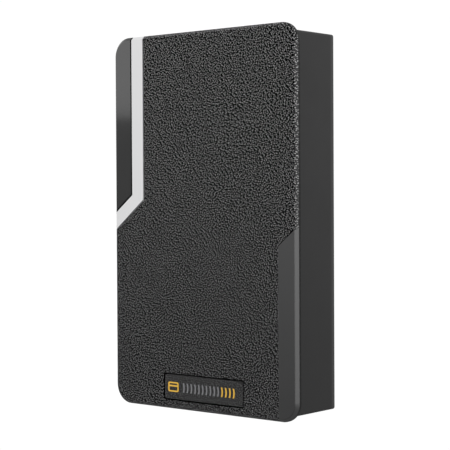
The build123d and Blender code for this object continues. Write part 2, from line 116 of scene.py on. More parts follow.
class Finish:
    """A Principled material, with short calls for the nodes that feed it."""

    def __init__(self, name, color, roughness, **sockets):
        self.mat = bpy.data.materials.new(name)
        self.mat.use_nodes = True
        self.tree = self.mat.node_tree
        self.shader = self.tree.nodes["Principled BSDF"]
        for socket, value in {"Base Color": (*color, 1.0), "Roughness": roughness, **sockets}.items():
            self.shader.inputs[socket.replace("_", " ")].default_value = value

    def use(self, **sources):
        """Links sources to the shader's sockets and hands over the material."""
        for socket, source in sources.items():
            self.tree.links.new(source, self.shader.inputs[socket.replace("_", " ")])
        return self.mat

    def node(self, kind, feeds=None, **settings):
        """A node with its settings; each fed socket is linked to a source, or holds a plain value."""
        n = self.tree.nodes.new(kind)
        for key, value in settings.items():
            setattr(n, key, value)
        for socket, source in (feeds or {}).items():
            if isinstance(source, bpy.types.NodeSocket):
                self.tree.links.new(source, n.inputs[socket])
            else:
                n.inputs[socket].default_value = source
        return n

    def place(self, stretch=None, turn=(0, 0, 0)):
        """Object coordinates, the row frame in metres; stretch lengthens features along the turned axes."""
        coords = self.node("ShaderNodeTexCoord").outputs["Object"]
        if stretch is None:
            return coords
        feeds = {"Vector": coords, "Rotation": [math.radians(t) for t in turn], "Scale": stretch}
        return self.node("ShaderNodeMapping", feeds, vector_type="TEXTURE").outputs["Vector"]

    def axes(self):
        """The x, y and z of the row frame."""
        split = self.node("ShaderNodeSeparateXYZ", {0: self.place()})
        return [self.math("DIVIDE", split.outputs[i], MM) for i in range(3)]

    def noise(self, size, detail=2.0, roughness=0.5, where=None):
        """Noise whose features are about size across."""
        feeds = {"Vector": where or self.place(), "Scale": 1 / (size * MM),
                 "Detail": detail, "Roughness": roughness}
        return self.node("ShaderNodeTexNoise", feeds).outputs["Fac"]

    def cells(self, size):
        """Soft-edged cells, as the distance from their middles."""
        feeds = {"Vector": self.place(), "Scale": 1 / (size * MM), "Smoothness": 0.35}
        return self.node("ShaderNodeTexVoronoi", feeds, feature="SMOOTH_F1").outputs["Distance"]

    def patches(self, size, randomness):
        """Square-cornered patches, as two chance values for each."""
        feeds = {"Vector": self.place(), "Scale": 1 / (size * MM), "Randomness": randomness}
        n = self.node("ShaderNodeTexVoronoi", feeds, feature="F1", distance="CHEBYCHEV")
        chance = self.node("ShaderNodeSeparateColor", {0: n.outputs["Color"]})
        return chance.outputs[0], chance.outputs[1]

    def flat_cells(self, size, where, randomness):
        """Cells laid out over x and z: the distance from their middles, and a chance value for each."""
        split = self.node("ShaderNodeSeparateXYZ", {0: where})
        join = self.node("ShaderNodeCombineXYZ", {0: split.outputs["X"], 1: split.outputs["Z"]})
        feeds = {"Vector": join.outputs[0], "Scale": 1 / (size * MM), "Randomness": randomness}
        n = self.node("ShaderNodeTexVoronoi", feeds, feature="F1", voronoi_dimensions="2D")
        chance = self.node("ShaderNodeSeparateColor", {0: n.outputs["Color"]})
        return n.outputs["Distance"], chance.outputs[0]

    def math(self, operation, a, b=0.0, third=0.0):
        return self.node("ShaderNodeMath", {0: a, 1: b, 2: third}, operation=operation).outputs[0]

    def plus(self, a, b):
        return self.math("ADD", a, b)

    def minus(self, a, b):
        return self.math("SUBTRACT", a, b)

    def times(self, a, b):
        return self.math("MULTIPLY", a, b)

    def other(self, mask):
        """1 where a mask is 0, and 0 where it is 1."""
        return self.minus(1.0, mask)

    def off(self, value, centre):
        """How far a value is from a centre."""
        return self.math("ABSOLUTE", self.minus(value, centre))

    def repeat(self, value, first, pitch):
        """How far a value is from the nearest of a row of places that lie a pitch apart."""
        return self.math("PINGPONG", self.minus(value, first), pitch / 2)

    def diagonal(self, first, second):
        return self.math("SQRT", self.plus(self.times(first, first), self.times(second, second)))

    def around(self, points, first, second):
        """How far it is to the nearest of some points, over two coordinates."""
        nearest = None
        for a, b in points:
            reach = self.diagonal(self.minus(first, a), self.minus(second, b))
            nearest = reach if nearest is None else self.math("MINIMUM", nearest, reach)
        return nearest

    def waves(self, along, period):
        """Even ripples between 0 and 1."""
        swing = self.math("SINE", self.times(along, math.tau / period))
        return self.math("MULTIPLY_ADD", swing, 0.5, third=0.5)

    def crossed_waves(self, first, second, period):
        """Two sets of ripples that cross on the slant."""
        return self.times(self.waves(self.plus(first, second), period),
                          self.waves(self.minus(first, second), period))

    def ramp(self, factor, low, high, a=0.0, b=1.0):
        """a below low, b above high, and a smooth step between them."""
        feeds = {"Value": factor, "From Min": low, "From Max": high, "To Min": a, "To Max": b}
        return self.node("ShaderNodeMapRange", feeds, interpolation_type="SMOOTHSTEP").outputs["Result"]

    def beyond(self, value, limit, width=0.04):
        """0 below a limit and 1 above it."""
        return self.ramp(value, limit - width / 2, limit + width / 2)

    def below(self, value, limit):
        """1 below a limit and 0 above it."""
        return self.other(self.beyond(value, limit))

    def between(self, value, low, high):
        return self.times(self.beyond(value, low), self.below(value, high))

    def blend(self, factor, a, b):
        """Mixes two colours, each a source or a plain one."""
        a, b = (c if isinstance(c, bpy.types.NodeSocket) else (*c, 1.0) for c in (a, b))
        return self.node("ShaderNodeMix", {0: factor, 6: a, 7: b}, data_type="RGBA").outputs[2]

    def bump(self, height, depth, under=None):
        """Raises the surface by height times depth, on top of another bump."""
        feeds = {"Height": height, "Distance": depth * MM, "Strength": 1.0}
        if under is not None:
            feeds["Normal"] = under
        return self.node("ShaderNodeBump", feeds).outputs["Normal"]


# ---------------------------------------------------------------- plastics of the case

CORNER = 6.2                                      # radius of the cover's corners
BEVEL_BAND = 1.25                                 # strip along the cover's outline that holds its bevel
SIDE_START, SIDE_FADE = 1.1, 0.15                 # depth behind the face at which the smooth sides begin
PEBBLE, PEBBLE_LONG = 0.45, 1.5                   # spacing of the grain's pebbles; length over width
PEBBLE_LEAN = -37.3                               # degrees; the pebbles' long axes run down to the right
PEBBLE_SCATTER = 0.88                             # 0 sets the pebbles out in a grid
GRAIN_FALLOFF_FOOT, GRAIN_FALLOFF_HEAD = -70.0, 62.0              # heights between which the grain's painted highlights and painted pit shade grow stronger
ACCENT_FALLOFF_FOOT, ACCENT_FALLOFF_HEAD = -66.0, -4.0            # heights between which the accent panel's painted fall-off of light changes its tones
RIM_HIGHLIGHT_START, RIM_HIGHLIGHT_FULL = 2.4, 0.6                    # distances from the rear rim where its painted highlight begins and where it is full
SPARK_SKIN, SPARK_DEPTH = 0.22, 0.006             # texture of smooth moulded plastic
CLOUD = 12.0                                      # size of its faint patches of tone and gloss


def pebbles(f):
    """The grain's pebbles: the distance from their middles, and a chance value for each."""
    return f.flat_cells(PEBBLE, f.place((PEBBLE_LONG, 1.0, 1.0), (0, PEBBLE_LEAN, 0)), PEBBLE_SCATTER)


def ahead_of_sides(f, y):
    """Mask for the face and the bevel."""
    return f.ramp(y, FACE_Y + SIDE_START - SIDE_FADE, FACE_Y + SIDE_START, 1.0, 0.0)


def outline_band(f, x, z):
    """Mask for the strip along the cover's outline, round corners included."""
    past_x, past_z = (f.math("MAXIMUM", f.minus(f.off(value, 0.0), half - CORNER), 0.0)
                      for value, half in ((x, HALF_W), (z, HALF_H)))
    return f.beyond(f.diagonal(past_x, past_z), CORNER - BEVEL_BAND)


def sunk(f, y, full_depth):
    """Mask for what lies deeper than the face; it is complete at the full depth."""
    return f.ramp(y, FACE_Y + 0.05, FACE_Y + full_depth)


def grained_cover():
    """Pebble grain on the face, with painted highlights on its crests and painted shade in its pits, both
    stronger towards the top; glossy on the bevel; sides behind it and recess walls painted darker as shade.
    """
    f = Finish("grained_cover", grey(0.030), 0.5)
    x, y, z = f.axes()
    face = ahead_of_sides(f, y)
    deep = sunk(f, y, 0.22)
    bevel = f.times(deep, outline_band(f, x, z))
    # Painted shade: the walls of the recesses in the face are painted near black and lose their shine.
    shaded_groove = f.minus(deep, bevel)
    spot, chance = pebbles(f)
    crest = f.ramp(spot, 0.19, 0.27, 1.0, 0.0)
    # Painted fall-off of light: the painted highlights on the crests and the painted shade in the pits grow
    # stronger towards the top.
    light_falloff = f.ramp(z, GRAIN_FALLOFF_FOOT, GRAIN_FALLOFF_HEAD)
    bright = f.ramp(chance, 0.0, 1.0)
    # Painted shade in the pits between the pebbles, darker towards the top.
    pit_shade = f.blend(light_falloff, grey(0.0060), grey(0.0003))
    # Painted highlights on the pebbles' crests, lighter towards the top; their strength differs at random
    # from pebble to pebble.
    painted_glint_foot = f.blend(bright, grey(0.178), grey(0.330))
    painted_glint_head = f.blend(bright, grey(0.250), grey(0.530))
    grain = f.blend(crest, pit_shade, f.blend(light_falloff, painted_glint_foot, painted_glint_head))
    gloss = f.math("MAXIMUM", f.ramp(crest, 0.0, 1.0, 0.03, 0.40), f.times(bevel, 0.20))
    # Painted shade: the sides behind the face are painted darker than the face, and the recess walls near
    # black.
    return f.use(Base_Color=f.blend(face, grey(0.010), f.blend(shaded_groove, grain, grey(0.001))),
                 Specular_IOR_Level=f.times(gloss, f.other(shaded_groove)),
                 Roughness=f.ramp(bevel, 0.0, 1.0, f.ramp(crest, 0.0, 1.0, 0.75, 0.5), 0.34),
                 Normal=f.bump(f.times(crest, face), 0.04))


def accent_panel():
    """Fine satin on the face and bevel, with a painted fall-off of light: the face lighter towards the top,
    the bevel lighter towards the foot; dull sides behind them, painted darker as shade.
    """
    f = Finish("accent_plastic", grey(0.026), 0.42)
    _, y, z = f.axes()
    front = ahead_of_sides(f, y)
    bevel = sunk(f, y, 0.25)
    cloud = f.noise(CLOUD, 3.0)
    # Painted fall-off of light: the face is painted lighter towards the top and the bevel lighter towards the
    # foot.
    light_falloff = f.ramp(z, ACCENT_FALLOFF_FOOT, ACCENT_FALLOFF_HEAD)
    painted_light_flat = f.blend(light_falloff, grey(0.0215), grey(0.0365))
    painted_light_bevel = f.blend(light_falloff, grey(0.0480), grey(0.0240))
    skin = f.blend(f.times(cloud, 0.15), f.blend(bevel, painted_light_flat, painted_light_bevel), grey(0.040))
    satin_front = f.ramp(bevel, 0.0, 1.0, f.ramp(cloud, 0.3, 0.7, 0.41, 0.45), 0.38)
    # Painted shade: the sides behind the face and bevel are painted darker.
    return f.use(Base_Color=f.blend(front, grey(0.008), skin),
                 Roughness=f.ramp(front, 0.0, 1.0, 0.7, satin_front),
                 Normal=f.bump(f.noise(SPARK_SKIN), SPARK_DEPTH))


def badge_face():
    """Satin with a trace of the cover's grain: painted highlights on its crests and painted shade between
    them.
    """
    f = Finish("badge_plastic", grey(0.018), 0.5, Specular_IOR_Level=0.4)
    crest = f.ramp(pebbles(f)[0], 0.15, 0.35, 1.0, 0.0)
    # Painted highlights on the grain's crests and painted shade between them.
    return f.use(Base_Color=f.blend(crest, grey(0.004), grey(0.085)),
                 Roughness=f.ramp(crest, 0.0, 1.0, 0.6, 0.48),
                 Normal=f.bump(crest, 0.01))


def plain_housing():
    """Satin skin with a painted highlight along the rear rim, where the edge catches light."""
    f = Finish("smooth_housing", grey(0.016), 0.46, Specular_IOR_Level=0.42)
    y = f.axes()[1]
    # Painted highlight: the base colour turns lighter along the rear rim, standing in for the light its edge
    # catches.
    rim_highlight = f.ramp(y, REAR_RIM - RIM_HIGHLIGHT_START, REAR_RIM - RIM_HIGHLIGHT_FULL)
    cloud = f.noise(CLOUD, 3.0)
    skin = f.blend(cloud, grey(0.0144), grey(0.0176))
    return f.use(Base_Color=f.blend(rim_highlight, skin, grey(0.052)),
                 Roughness=f.ramp(cloud, 0.3, 0.7, 0.43, 0.49),
                 Normal=f.bump(f.noise(SPARK_SKIN), SPARK_DEPTH))


def satin(name, color, roughness=0.42, depth=SPARK_DEPTH, spread=0.10, gloss=0.03, **sockets):
    """Smooth moulded plastic: a fine spark-eroded skin and faint unevenness of tone and gloss."""
    f = Finish(name, color, roughness, **sockets)
    cloud = f.noise(CLOUD, 3.0)
    return f.use(Base_Color=f.blend(cloud, shade(color, 1 - spread), shade(color, 1 + spread)),
                 Roughness=f.ramp(cloud, 0.3, 0.7, roughness - gloss, roughness + gloss),
                 Normal=f.bump(f.noise(SPARK_SKIN), depth))


def case_finishes():
    return {
        "front_cover": grained_cover(),
        "rear_housing": plain_housing(),
        "status_window": satin("smoked_window", grey(0.026), 0.07, 0.0004, gloss=0.01,
                               Specular_IOR_Level=0.44),
        # Painted shade: the gasket is near black and without shine, standing in for the shade in the gap
        # between window and bar.
        "window_gasket": satin("gasket_shade_black", grey(0.0008), 0.9, Specular_IOR_Level=0.0),
        "light_bar": satin("light_diffuser", (0.76, 0.76, 0.765), 0.45, spread=0.01),
        "accent_panel": accent_panel(),
        "badge_plate": badge_face(),
        "badge_waves": satin("badge_grey", (0.20, 0.20, 0.21), 0.5),
        "badge_icon": satin("badge_amber", (0.78, 0.46, 0.05), 0.5),
    }


# ---------------------------------------------------------------- plate, seals and fixings

TINNED = (0.60, 0.59, 0.56)
ZINC = (0.56, 0.57, 0.58)


def glass_filled(name, color):
    """Moulded plastic with short glass fibres that drift along the flow."""
    f = Finish(name, color, 0.55, Specular_IOR_Level=0.4)
    fibres = f.noise(0.5, 3.0, 0.6, f.place((0.6, 1.0, 7.0), (0, 8, 0)))
    return f.use(Base_Color=f.blend(f.ramp(fibres, 0.35, 0.70), shade(color, 0.82), shade(color, 1.5)),
                 Roughness=f.ramp(fibres, 0.35, 0.65, 0.62, 0.46),
                 Normal=f.bump(fibres, 0.012, f.bump(f.noise(0.25), 0.010)))


def foam():
    f = Finish("closed_foam", (0.030, 0.030, 0.033), 0.9, Specular_IOR_Level=0.2)
    pores = f.cells(0.45)
    # Painted shade: the pores' hollows are painted darker.
    tone = f.blend(f.ramp(pores, 0.1, 0.6), (0.014, 0.014, 0.016), (0.048, 0.048, 0.052))
    return f.use(Base_Color=tone, Normal=f.bump(pores, 0.12))


def rubber(name, color, roughness):
    """Matt elastomer with a bloom of dust."""
    f = Finish(name, color, roughness, Specular_IOR_Level=0.25)
    bloom = f.noise(1.6, 4.0, 0.65)
    return f.use(Base_Color=f.blend(f.ramp(bloom, 0.4, 0.75), color, shade(color, 1.7)),
                 Roughness=f.ramp(bloom, 0.3, 0.7, roughness - 0.06, roughness + 0.08),
                 Normal=f.bump(f.noise(0.18), 0.012))


def thread(name, axis, pitch, low_plain=0.0, high_plain=0.0):
    """A screw's thread: its axis, its pitch, and where it starts and ends between the plain lengths."""
    index = "xyz".index(axis)
    low, high = span(name)
    return index, pitch, low[index] + low_plain, high[index] - high_plain


def metal(name, color, roughness, stretch=(1.0, 1.0, 1.0), stain=0.12, ridges=None):
    """Bare or plated metal; tool marks run along the stretched axis, and ridges are a thread's."""
    f = Finish(name, color, roughness, Metallic=1.0)
    marks = f.noise(0.12, 2.0, 0.6, f.place(stretch))
    stains = f.noise(2.2, 4.0, 0.6)
    normal = f.bump(marks, 0.003)
    if ridges:
        index, pitch, start, end = ridges
        along = f.axes()[index]
        normal = f.bump(f.times(f.waves(along, pitch), f.between(along, start, end)), 0.15, normal)
    return f.use(Base_Color=f.blend(stains, shade(color, 1 - stain), shade(color, 1 + stain)),
                 Roughness=f.plus(f.ramp(marks, 0.3, 0.7, -0.05, 0.07),
                                  f.ramp(stains, 0.3, 0.7, roughness - 0.04, roughness + 0.06)),
                 Normal=normal)


def knurled_brass():
    f = Finish("insert_brass", (0.70, 0.50, 0.22), 0.30, Metallic=1.0)
    x, y, z = f.axes()
    tarnish = f.noise(0.8, 3.0)
    return f.use(Base_Color=f.blend(tarnish, (0.60, 0.40, 0.15), (0.78, 0.58, 0.28)),
                 Roughness=f.ramp(tarnish, 0.3, 0.7, 0.24, 0.40),
                 Normal=f.bump(f.crossed_waves(f.plus(x, z), y, 0.5), 0.12))


def fixing_finishes():
    cover_thread = thread("cover_screws", "y", 0.45, high_plain=1.4)
    board_thread = thread("board_screws", "y", 0.40, low_plain=1.4)
    lock_thread = thread("security_screw", "z", 0.50, low_plain=1.6, high_plain=0.1)
    return {
        "mounting_plate": glass_filled("plate_plastic", (0.030, 0.030, 0.031)),
        "cable_gasket": foam(),
        "cover_seal": rubber("seal_rubber", (0.010, 0.010, 0.010), 0.65),
        "cover_screws": metal("cover_screw_zinc", ZINC, 0.30, ridges=cover_thread),
        "board_screws": metal("board_screw_zinc", ZINC, 0.30, ridges=board_thread),
        "threaded_inserts": knurled_brass(),
        "security_screw": metal("lock_stainless", (0.40, 0.40, 0.41), 0.28, (1.0, 1.0, 0.2),
                                ridges=lock_thread),
        "terminal_block": satin("green_polyamide", (0.015, 0.16, 0.055), 0.34, 0.008, spread=0.08),
        "terminal_screws": metal("clamp_screw_zinc", (0.60, 0.60, 0.60), 0.26, (1.0, 1.0, 6.0)),
        "terminal_clamps": metal("clamp_tinned", TINNED, 0.36, (1.0, 1.0, 6.0)),
    }


# ---------------------------------------------------------------- boards

LAMINATE = (0.42, 0.38, 0.20)                     # bare edges of a board
TRACK_PATCH = 6.0                                 # stretch of a board over which its tracks run one way
VIA_SPACING = 4.2


def circuit_board(name, mask, piece, lanes):
    """Solder mask over copper lanes and plated holes, with bare laminate at the sawn edges."""
    f = Finish(name, mask, 0.35)
    x, y, z = f.axes()
    front, rear = (corner[1] for corner in span(piece))
    way, laid = f.patches(TRACK_PATCH, 0.6)
    turned = f.beyond(way, 0.5, 0.02)
    lane = f.plus(f.times(f.waves(z, lanes), turned), f.times(f.waves(x, lanes), f.other(turned)))
    copper = f.times(f.ramp(lane, 0.55, 0.68), f.beyond(laid, 0.35, 0.02))
    hole, _ = f.flat_cells(VIA_SPACING, f.place(), 0.85)
    ring = f.ramp(hole, 0.065, 0.08, 1.0, 0.0)
    # Painted shade: the holes' bores are painted near black.
    shaded_bore = f.ramp(hole, 0.028, 0.038, 1.0, 0.0)
    face = f.blend(copper, mask, tuple(c * 1.9 + 0.006 for c in mask))
    face = f.blend(shaded_bore, f.blend(ring, face, (0.55, 0.50, 0.38)), (0.01, 0.01, 0.01))
    weave = f.crossed_waves(x, z, 0.5)
    edge = f.between(y, front + 0.05, rear - 0.05)
    return f.use(Base_Color=f.blend(edge, face, f.blend(weave, shade(LAMINATE, 0.75), LAMINATE)),
                 Roughness=f.plus(f.ramp(edge, 0.0, 1.0, 0.30, 0.75), f.times(weave, 0.06)),
                 Normal=f.bump(f.plus(copper, f.times(weave, 0.15)), 0.03))


def winding():
    """Enamelled wire laid side by side, seen as fine ribs round the coil."""
    f = Finish("wire_winding", (0.50, 0.18, 0.06), 0.28, Metallic=0.8, Coat_Weight=0.4)
    y = f.axes()[1]
    ribs = f.waves(f.plus(y, f.times(f.noise(6.0), 0.12)), 0.26)
    flow = f.noise(1.0, 3.0, 0.6)
    return f.use(Base_Color=f.blend(flow, (0.36, 0.11, 0.035), (0.62, 0.25, 0.09)),
                 Roughness=f.ramp(ribs, 0.0, 1.0, 0.42, 0.24),
                 Normal=f.bump(ribs, 0.13))


def ferrite(name, ring_on=None):
    """Dark sintered ceramic with fine painted glints, and a channel round the face of a coil's core that is
    painted dark as shade.
    """
    f = Finish(name, (0.045, 0.045, 0.048), 0.6)
    grit = f.noise(0.12, 3.0, 0.75)
    # Painted glints: small bright specks in the base colour.
    glint = f.ramp(f.cells(0.4), 0.05, 0.12, 1.0, 0.0)
    tone = f.blend(grit, (0.022, 0.022, 0.024), (0.075, 0.073, 0.075))
    height = f.times(grit, 0.2)
    if ring_on:
        x, y, z = f.axes()
        reach = f.around([middle(ring_on)], x, z)
        ring = f.times(f.ramp(reach, 1.9, 2.0), f.ramp(reach, 2.3, 2.4, 1.0, 0.0))
        shaded_groove = f.times(ring, f.below(y, span(ring_on)[0][1] + 0.1))
        height = f.minus(height, shaded_groove)
        # Painted shade: the channel round the core is painted near black.
        tone = f.blend(shaded_groove, tone, (0.008, 0.008, 0.008))
    return f.use(Base_Color=f.blend(f.times(glint, 0.5), tone, (0.3, 0.3, 0.3)),
                 Roughness=f.ramp(grit, 0.3, 0.7, 0.50, 0.72),
                 Normal=f.bump(height, 0.10))


def board_finishes():
    nylon = satin("natural_nylon", (0.50, 0.47, 0.40), 0.45, Subsurface_Weight=0.15, Subsurface_Scale=MM)
    return {
        "main_board": circuit_board("main_laminate", (0.010, 0.085, 0.032), "main_board", 0.8),
        "antenna_board": circuit_board("antenna_laminate", (0.008, 0.060, 0.026), "antenna_board", 3.6),
        "hf_antenna": metal("antenna_copper", (0.72, 0.36, 0.18), 0.34, stain=0.2),
        "lf_coil": winding(),
        "coil_former": nylon,
        "ferrite_sheet": ferrite("ferrite_sheet"),
    }


# ---------------------------------------------------------------- parts on the main board

EPOXY = (0.012, 0.012, 0.0125)
CERAMIC_BROWN = (0.24, 0.16, 0.10)
CHIP_LONG, CHIP_STEP, CHIP_ROW = 1.6, 3.0, 1.2    # ceramic chips: length, and spacing along x and z
CHIP_BARE = 0.52                                  # half the length that isn't tinned
VENT_PITCH, VENT_R = 2.5, 0.37
CAN_PITCH = 7.0                                   # between the two capacitors
LED_HALF, LED_PITCH, LED_COUNT = 1.0, 8.0, 5      # a column behind the bar; one more is behind its foot
LENS_R, LENS_RIM_R = 0.69, 0.74


def feet(depth):
    """Mask for the metal that lies within a depth of the board's front."""
    return lambda f, x, y, z: f.beyond(y, BOARD_FRONT - depth)


def outside(piece, half):
    """Mask for what stands out of a piece's square body."""
    def legs(f, x, y, z):
        across, up = (f.off(value, centre) for value, centre in zip((x, z), middle(piece)))
        return f.beyond(f.math("MAXIMUM", across, up), half + 0.02)
    return legs


def leaded(name, piece, metal_mask, dot_off):
    """Black moulded package with a dented dot: speckled epoxy, and tinned legs where the mask says so."""
    f = Finish(name, EPOXY, 0.55)
    x, y, z = f.axes()
    legs = metal_mask(f, x, y, z)
    dot = tuple(centre + step for centre, step in zip(middle(piece), dot_off))
    speck = f.noise(0.10, 3.0, 0.7)
    dent = f.ramp(f.around([dot], x, z), 0.32, 0.40, 1.0, 0.0)
    body = f.blend(dent, f.blend(f.ramp(speck, 0.45, 0.7), EPOXY, shade(EPOXY, 2.0)), shade(EPOXY, 3.0))
    return f.use(Base_Color=f.blend(legs, body, TINNED),
                 Metallic=legs,
                 Roughness=f.ramp(legs, 0.0, 1.0, 0.58, 0.30),
                 Normal=f.bump(f.minus(f.times(speck, 0.1), dent), 0.06))


def chip_ends():
    """Ceramic chips: tinned at both ends, and dark or tan by their place."""
    f = Finish("ceramic_chips", CERAMIC_BROWN, 0.45)
    x, _, z = f.axes()
    ends = f.beyond(f.repeat(x, span("small_parts")[0][0] + CHIP_LONG / 2, CHIP_STEP), CHIP_BARE)
    column = f.math("ROUND", f.math("DIVIDE", x, CHIP_STEP))
    row = f.math("ROUND", f.math("DIVIDE", z, CHIP_ROW))
    place = f.node("ShaderNodeCombineXYZ", {0: column, 1: row}).outputs[0]
    kind = f.node("ShaderNodeTexWhiteNoise", {"Vector": place}, noise_dimensions="2D").outputs["Value"]
    body = f.blend(f.beyond(kind, 0.5), (0.02, 0.02, 0.022), CERAMIC_BROWN)
    mottle = f.noise(0.2)
    return f.use(Base_Color=f.blend(ends, f.blend(f.times(mottle, 0.3), body, (0.4, 0.35, 0.3)), TINNED),
                 Metallic=ends,
                 Roughness=f.plus(f.times(mottle, 0.2), f.ramp(ends, 0.0, 1.0, 0.38, 0.22)),
                 Normal=f.bump(f.plus(mottle, ends), 0.02))


def shield_can():
    """Tinned can with rows of small vents in its lid, painted near black as shade."""
    f = Finish("shield_can", TINNED, 0.32, Metallic=1.0)
    x, y, z = f.axes()
    centre_x, centre_z = middle("rf_shield")
    reach = f.diagonal(f.repeat(x, centre_x, VENT_PITCH), f.repeat(z, centre_z, VENT_PITCH))
    lid = f.below(y, span("rf_shield")[0][1] + 0.05)
    # Painted shade: the vents are painted near black.
    shaded_vent = f.times(f.ramp(reach, VENT_R - 0.03, VENT_R + 0.03, 1.0, 0.0), lid)
    marks = f.noise(0.15, 2.0, 0.6, f.place((8.0, 1.0, 1.0)))
    bare = f.blend(marks, shade(TINNED, 0.85), shade(TINNED, 1.1))
    return f.use(Base_Color=f.blend(shaded_vent, bare, (0.01, 0.01, 0.01)),
                 Roughness=f.ramp(marks, 0.3, 0.7, 0.26, 0.42),
                 Normal=f.bump(f.minus(f.times(marks, 0.05), shaded_vent), 0.08))


def radio_module():
    """A blue carrier with a printed aerial, and a tinned can over its lower part."""
    f = Finish("radio_module", TINNED, 0.3)
    _, y, z = f.axes()
    carrier = f.beyond(y, BOARD_FRONT - 0.82)
    aerial = f.times(f.ramp(f.waves(z, 1.0), 0.55, 0.7), f.beyond(z, span("bluetooth_module")[1][2] - 3.6))
    marks = f.noise(0.15, 2.0, 0.6, f.place((1.0, 1.0, 8.0)))
    can = f.blend(marks, shade(TINNED, 0.82), shade(TINNED, 1.1))
    printed = f.blend(aerial, (0.012, 0.05, 0.10), (0.55, 0.42, 0.20))
    return f.use(Base_Color=f.blend(carrier, can, printed),
                 Metallic=f.other(carrier),
                 Roughness=f.ramp(marks, 0.3, 0.7, 0.26, 0.40),
                 Normal=f.bump(f.plus(f.times(marks, 0.1), aerial), 0.04))


def can_capacitors():
    """Aluminium cans on black feet, with a dark sector and a scored cross on top."""
    f = Finish("can_capacitors", (0.72, 0.72, 0.74), 0.3)
    x, y, z = f.axes()
    centre_x, centre_z = middle("bulk_capacitors")
    base = f.beyond(y, BOARD_FRONT - 0.82)
    top = f.below(y, span("bulk_capacitors")[0][1] + 0.05)
    dark = f.math("MAXIMUM", base, f.times(top, f.below(x, centre_x - 1.3)))
    cross = f.math("MINIMUM", f.repeat(z, centre_z + CAN_PITCH / 2, CAN_PITCH), f.off(x, centre_x))
    score = f.times(top, f.ramp(cross, 0.06, 0.12, 1.0, 0.0))
    drawn = f.noise(0.15, 2.0, 0.6, f.place((1.0, 9.0, 1.0)))
    bright = f.blend(drawn, (0.62, 0.62, 0.64), (0.78, 0.78, 0.80))
    return f.use(Base_Color=f.blend(dark, bright, (0.012, 0.012, 0.013)),
                 Metallic=f.other(dark),
                 Roughness=f.plus(f.ramp(drawn, 0.3, 0.7, 0.22, 0.34), f.times(dark, 0.2)),
                 Normal=f.bump(f.minus(f.times(drawn, 0.1), score), 0.10))


def light_sources():
    """White packages with a round yellow phosphor window in front."""
    f = Finish("led_package", (0.82, 0.82, 0.80), 0.35)
    x, y, z = f.axes()
    low, high = span("status_leds")
    column = [(high[0] - LED_HALF, high[2] - LED_HALF - LED_PITCH * i) for i in range(LED_COUNT)]
    reach = f.around(column + [(low[0] + LED_HALF, low[2] + LED_HALF)], x, z)
    front = f.below(y, low[1] + 0.05)
    phosphor = f.times(front, f.ramp(reach, LENS_R - 0.03, LENS_R + 0.03, 1.0, 0.0))
    rim = f.times(front, f.ramp(f.off(reach, LENS_RIM_R), 0.03, 0.08, 1.0, 0.0))
    grain = f.noise(0.08, 2.0, 0.7)
    powder = f.blend(grain, (0.72, 0.52, 0.06), (0.85, 0.68, 0.14))
    shell = f.blend(grain, (0.74, 0.74, 0.72), (0.86, 0.86, 0.84))
    solder = f.beyond(y, BOARD_FRONT - 0.15)
    return f.use(Base_Color=f.blend(solder, f.blend(phosphor, shell, powder), TINNED),
                 Roughness=f.ramp(phosphor, 0.0, 1.0, 0.42, 0.18),
                 Normal=f.bump(f.minus(f.times(grain, 0.1), rim), 0.06))


def sounder():
    """Black sounder whose lid carries fine rings."""
    f = Finish("sounder", EPOXY, 0.5)
    x, y, z = f.axes()
    reach = f.around([middle("buzzer")], x, z)
    lid = f.below(y, span("buzzer")[0][1] + 0.05)
    rings = f.times(lid, f.times(f.ramp(f.waves(reach, 1.6), 0.8, 0.95), f.beyond(reach, 1.6)))
    skin = f.noise(0.2)
    return f.use(Base_Color=f.blend(skin, shade(EPOXY, 0.8), shade(EPOXY, 1.6)),
                 Roughness=f.ramp(skin, 0.3, 0.7, 0.42, 0.56),
                 Normal=f.bump(f.minus(f.times(skin, 0.05), rings), 0.12))


def gilt_pins():
    """Black base and gold-plated pins in front of it."""
    f = Finish("gilt_pins", EPOXY, 0.4)
    y = f.axes()[1]
    pins = f.below(y, BOARD_FRONT - 2.52)
    wear = f.noise(0.3, 3.0)
    gold = f.blend(wear, (0.72, 0.50, 0.20), (0.86, 0.66, 0.32))
    return f.use(Base_Color=f.blend(pins, f.blend(wear, EPOXY, shade(EPOXY, 2.0)), gold),
                 Metallic=pins,
                 Roughness=f.ramp(wear, 0.3, 0.7, 0.22, 0.40),
                 Normal=f.bump(wear, 0.01))


def switch_body():
    """Black switch with a red button on its rear."""
    f = Finish("switch_body", EPOXY, 0.45)
    x, y, z = f.axes()
    button_start = span("tamper_switch")[1][1] - 0.35
    disc = f.ramp(f.around([middle("tamper_switch")], x, z), 1.22, 1.26, 1.0, 0.0)
    button = f.times(f.beyond(y, button_start), disc)
    skin = f.noise(0.2)
    body = f.blend(skin, shade(EPOXY, 0.8), shade(EPOXY, 1.8))
    return f.use(Base_Color=f.blend(button, body, (0.42, 0.03, 0.02)),
                 Roughness=f.ramp(skin, 0.3, 0.7, 0.38, 0.52),
                 Normal=f.bump(skin, 0.012))


